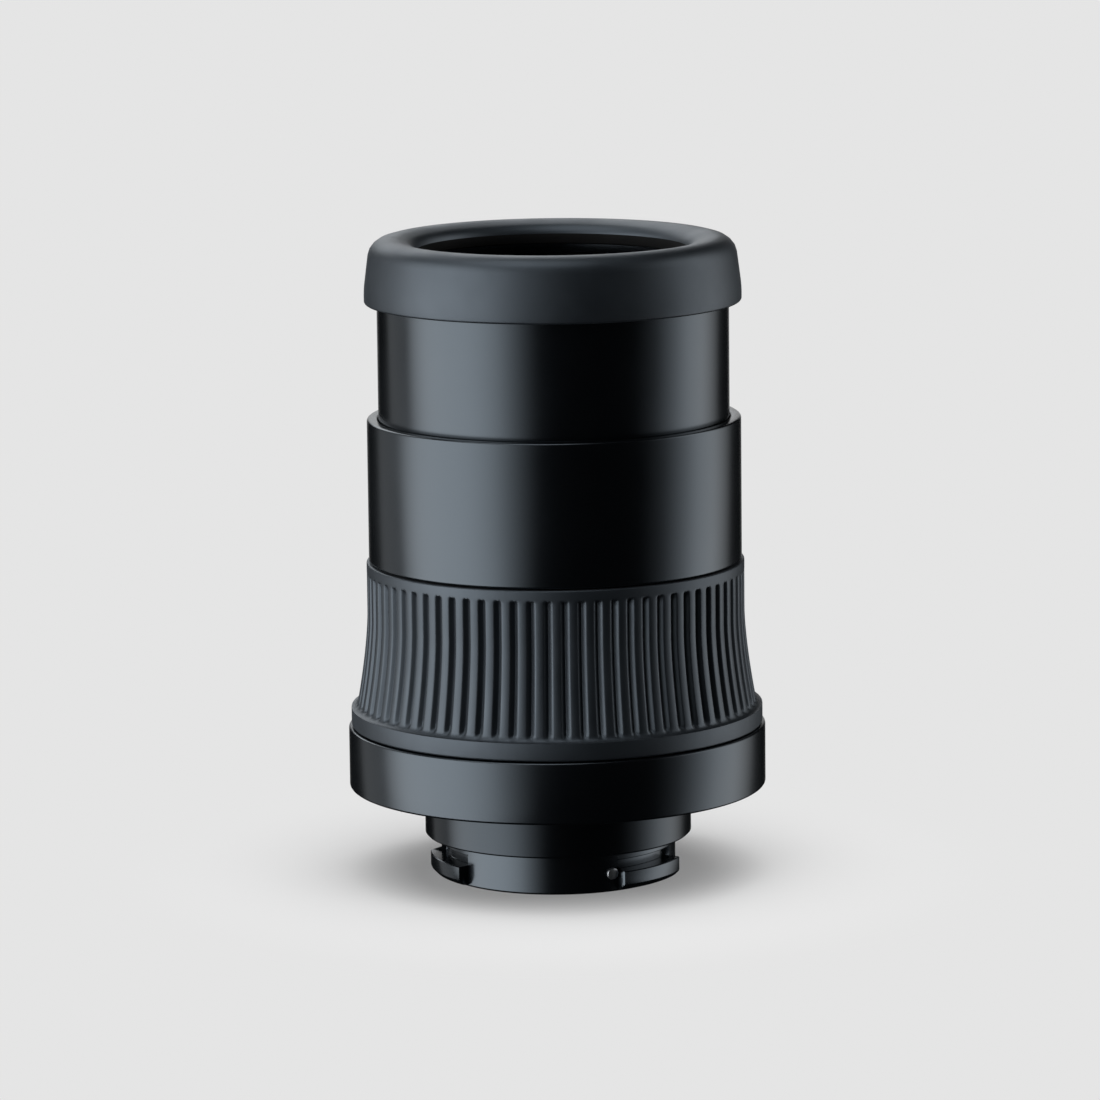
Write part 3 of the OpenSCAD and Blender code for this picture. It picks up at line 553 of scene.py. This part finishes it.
def makeStopPin():
    p = pinForm
    length = p['end'] - p['start']
    corners = [(0.0, 0.0, 0), (p['radius'], 0.0, 0),
               (p['radius'], length - p['dome'], p['edgeSoft']),
               (p['radius'] * p['faceR'], length - p['dome'] * p['faceDown'], p['faceSoft']),
               (0.0, length, 0)]
    bm = turnedMesh(corners, p['steps'])
    around = Matrix.Rotation(math.radians(p['turn']), 4, 'Z')
    foot = around @ Vector((p['start'] * mm, 0, 0))
    foot.z = p['level'] * mm
    outward = around @ Matrix.Rotation(math.radians(90), 4, 'Y')
    bmesh.ops.transform(bm, matrix=Matrix.Translation(foot) @ outward, verts=bm.verts[:])
    bmesh.ops.recalc_face_normals(bm, faces=bm.faces[:])
    finishPiece(bm, 'stopPin', 'housing', [steel], 'stop_pin')


makeBayonet()
makeStopPin()
print('bayonet mount made')

# Carried-over nodes

slotLooks = dict(anodised=innerBlack, rubber=rubber, seal=seal, steel=steel, brass=brass,
                 glass=glass)
# the brass parts round the eye lens are blackened against stray light
ownLooks = dict(helix_sleeve=blackenedBrass, click_ring=blackenedBrass)
slotOfNode = {row["node"]: row["material_slot"] for row in frame["record"]["subparts"]}
for name, node in nodes.items():
    node.data.materials.clear()
    node.data.materials.append(ownLooks.get(name, slotLooks[slotOfNode[name]]))
print('nodes dressed', len(nodes))

# Floor and background: lit and shaded round the object, a plain tone further out

stageForm = dict(size=6.0, cells=8, colour=0.783, near=0.03, far=0.066, fill=0.3,
                 roughness=0.9, tone=0.88, bounceTone=0.1)


def makeFloor():
    s = stageForm
    bm = bmesh.new()
    bmesh.ops.create_grid(bm, x_segments=s['cells'], y_segments=s['cells'], size=s['size'])
    floor = addObject('floor', meshFrom(bm, 'floor'))
    material, tree, shader, place = newMaterial('paleFloor', {
        'Roughness': s['roughness'], 'Specular IOR Level': 0.0})
    reach = addNode(tree, 'ShaderNodeVectorMath', {0: place}, operation='LENGTH')
    away = addNode(tree, 'ShaderNodeMapRange', {
        'Value': reach.outputs['Value'], 'From Min': s['near'], 'From Max': s['far'],
        'To Min': s['fill']}, interpolation_type='SMOOTHSTEP')
    seen = addNode(tree, 'ShaderNodeLightPath').outputs['Is Camera Ray']
    share = addNode(tree, 'ShaderNodeMath', {0: away.outputs[0], 1: seen}, operation='MULTIPLY')
    plain = addNode(tree, 'ShaderNodeEmission', {'Color': grey(s['colour']), 'Strength': 1.0})
    tone = addNode(tree, 'ShaderNodeMix', {
        'Factor': seen, colourA: grey(s['bounceTone']), colourB: grey(s['tone'])},
        data_type='RGBA')
    tree.links.new(tone.outputs[colourOut], shader.inputs['Base Color'])
    blend = addNode(tree, 'ShaderNodeMixShader', {
        0: share.outputs[0], 1: shader.outputs[0], 2: plain.outputs[0]})
    tree.links.new(blend.outputs[0], tree.nodes['Material Output'].inputs['Surface'])
    floor.data.materials.append(material)
    floor.visible_glossy = False
    floor.visible_shadow = False
    return floor


roomForm = dict(colour=(0.85, 0.93, 1.0, 1), level=0.006, behindFrom=0.95, behindTo=0.995)


def makeWorld():
    # the camera sees the pale tone, and so do mirrors that face straight back; the rest of
    # the light comes from a dim room
    r = roomForm
    world = bpy.data.worlds.new('studio')
    bpy.context.scene.world = world
    world.use_nodes = True
    tree = world.node_tree
    pale = tree.nodes['Background']
    pale.inputs['Color'].default_value = grey(stageForm['colour'])
    room = addNode(tree, 'ShaderNodeBackground', {'Color': r['colour'], 'Strength': r['level']})
    path = addNode(tree, 'ShaderNodeLightPath').outputs
    heading = addNode(tree, 'ShaderNodeTexCoord').outputs['Object']
    part = addNode(tree, 'ShaderNodeSeparateXYZ', {0: heading})
    behind = addNode(tree, 'ShaderNodeMapRange', {
        'Value': part.outputs['Y'], 'From Min': r['behindFrom'], 'From Max': r['behindTo']},
        interpolation_type='SMOOTHSTEP')
    mirrored = addNode(tree, 'ShaderNodeMath', {0: path['Is Glossy Ray'], 1: behind.outputs[0]},
                       operation='MULTIPLY')
    through = addNode(tree, 'ShaderNodeMath', {
        0: path['Is Camera Ray'], 1: path['Is Transmission Ray']}, operation='MAXIMUM')
    shown = addNode(tree, 'ShaderNodeMath', {0: through.outputs[0], 1: mirrored.outputs[0]},
                    operation='MAXIMUM')
    blend = addNode(tree, 'ShaderNodeMixShader', {
        0: shown.outputs[0], 1: room.outputs[0], 2: pale.outputs[0]})
    tree.links.new(blend.outputs[0], tree.nodes['World Output'].inputs['Surface'])


# Softboxes

aim = Vector((0, 0, 0.05))


def fadeBox(light, ends):
    # ends are (turn, share) stops round the axis, which fade the box towards its sides
    first, last = ends[0][0], ends[-1][0]
    light.use_nodes = True
    tree = light.node_tree
    place = addNode(tree, 'ShaderNodeNewGeometry').outputs['Position']
    part = addNode(tree, 'ShaderNodeSeparateXYZ', {0: place})
    front = addNode(tree, 'ShaderNodeMath', {0: part.outputs['Y'], 1: -1.0},
                    operation='MULTIPLY')
    angle = addNode(tree, 'ShaderNodeMath', {0: part.outputs['X'], 1: front.outputs[0]},
                    operation='ARCTAN2')
    share = addNode(tree, 'ShaderNodeMapRange', {
        'Value': angle.outputs[0], 'From Min': math.radians(first),
        'From Max': math.radians(last)})
    ramp = addNode(tree, 'ShaderNodeValToRGB', {0: share.outputs[0]})
    points = ramp.color_ramp.elements
    for turn, value in ends[1:-1]:
        points.new((turn - first) / (last - first))
    for point, (turn, value) in zip(points, ends):
        point.color = grey(value)
    tree.links.new(ramp.outputs[0], tree.nodes['Emission'].inputs['Strength'])


def makeSoftbox(name, lit, turn, distance, height, width, tall, level, tint, ends=None):
    # turn is counted from the camera side, to the right of it; level is how bright its face is
    light = bpy.data.lights.new(name, 'AREA')
    light.shape = 'RECTANGLE'
    light.size, light.size_y = width, tall
    light.energy = level * math.pi * width * tall
    light.color = tint
    if ends:
        fadeBox(light, ends)
    box = addObject(name, light)
    angle = math.radians(turn)
    box.location = (distance * math.sin(angle), -distance * math.cos(angle), height)
    box.rotation_euler = (aim - Vector(box.location)).to_track_quat('-Z', 'Y').to_euler()
    box.visible_camera = False
    box.light_linking.receiver_collection = lit


onPieces = bpy.data.collections.new('onPieces')
for thing in bpy.data.objects:
    if thing.type == 'MESH':
        onPieces.objects.link(thing)
onFloor = bpy.data.collections.new('onFloor')
onFloor.objects.link(makeFloor())
makeWorld()
boxWhite = (0.97, 0.99, 1.0)
skyWhite = (0.95, 0.98, 1.0)
softboxes = dict(
    leftBox=dict(lit=onPieces, turn=-62, distance=1.3, height=0.15, width=3.1, tall=1.9,
                 level=2.9, tint=boxWhite,
                 ends=((-112, 0.0), (-104, 0.45), (-92, 0.9), (-80, 1.0), (-60, 1.0),
                       (-50, 0.92), (-38, 0.7), (-27, 0.32), (-17, 0.08), (-8, 0.0))),
    rightBox=dict(lit=onPieces, turn=100, distance=1.3, height=0.15, width=2.4, tall=1.9,
                  level=2.95, tint=boxWhite,
                  ends=((56, 0.0), (70, 0.05), (84, 0.28), (97, 0.54), (112, 0.54),
                        (124, 0.26), (138, 0.0))),
    edgeBox=dict(lit=onPieces, turn=-124, distance=1.4, height=0.15, width=0.6, tall=1.9,
                 level=0.35, tint=boxWhite),
    topBox=dict(lit=onPieces, turn=-60, distance=0.35, height=1.3, width=1.1, tall=0.9,
                level=1.7, tint=skyWhite),
    backBox=dict(lit=onPieces, turn=-162, distance=1.4, height=0.95, width=1.2, tall=1.0,
                 level=1.85, tint=skyWhite),
    floorBox=dict(lit=onFloor, turn=15, distance=0.18, height=1.3, width=2.0, tall=2.0,
                  level=2.52, tint=(1.0, 1.0, 1.0)))
for name, spec in softboxes.items():
    makeSoftbox(name, **spec)

# Camera, where the photo was taken from

cameraForm = dict(place=(-0.00077, -0.8085, 0.1852), pitch=9.711, roll=-0.617, lens=187.1,
                  sensor=36.0, near=0.01, far=50.0)


def makeCamera():
    c = cameraForm
    data = bpy.data.cameras.new('photoCamera')
    data.sensor_width = c['sensor']
    data.lens = c['lens']
    data.clip_start, data.clip_end = c['near'], c['far']
    camera = addObject('photoCamera', data)
    tilt = Matrix.Rotation(math.radians(90 - c['pitch']), 4, 'X')
    roll = Matrix.Rotation(math.radians(c['roll']), 4, 'Z')
    camera.matrix_world = Matrix.Translation(c['place']) @ tilt @ roll
    bpy.context.scene.camera = camera


makeCamera()
bpy.context.scene.view_settings.view_transform = 'Standard'
print('stage made')
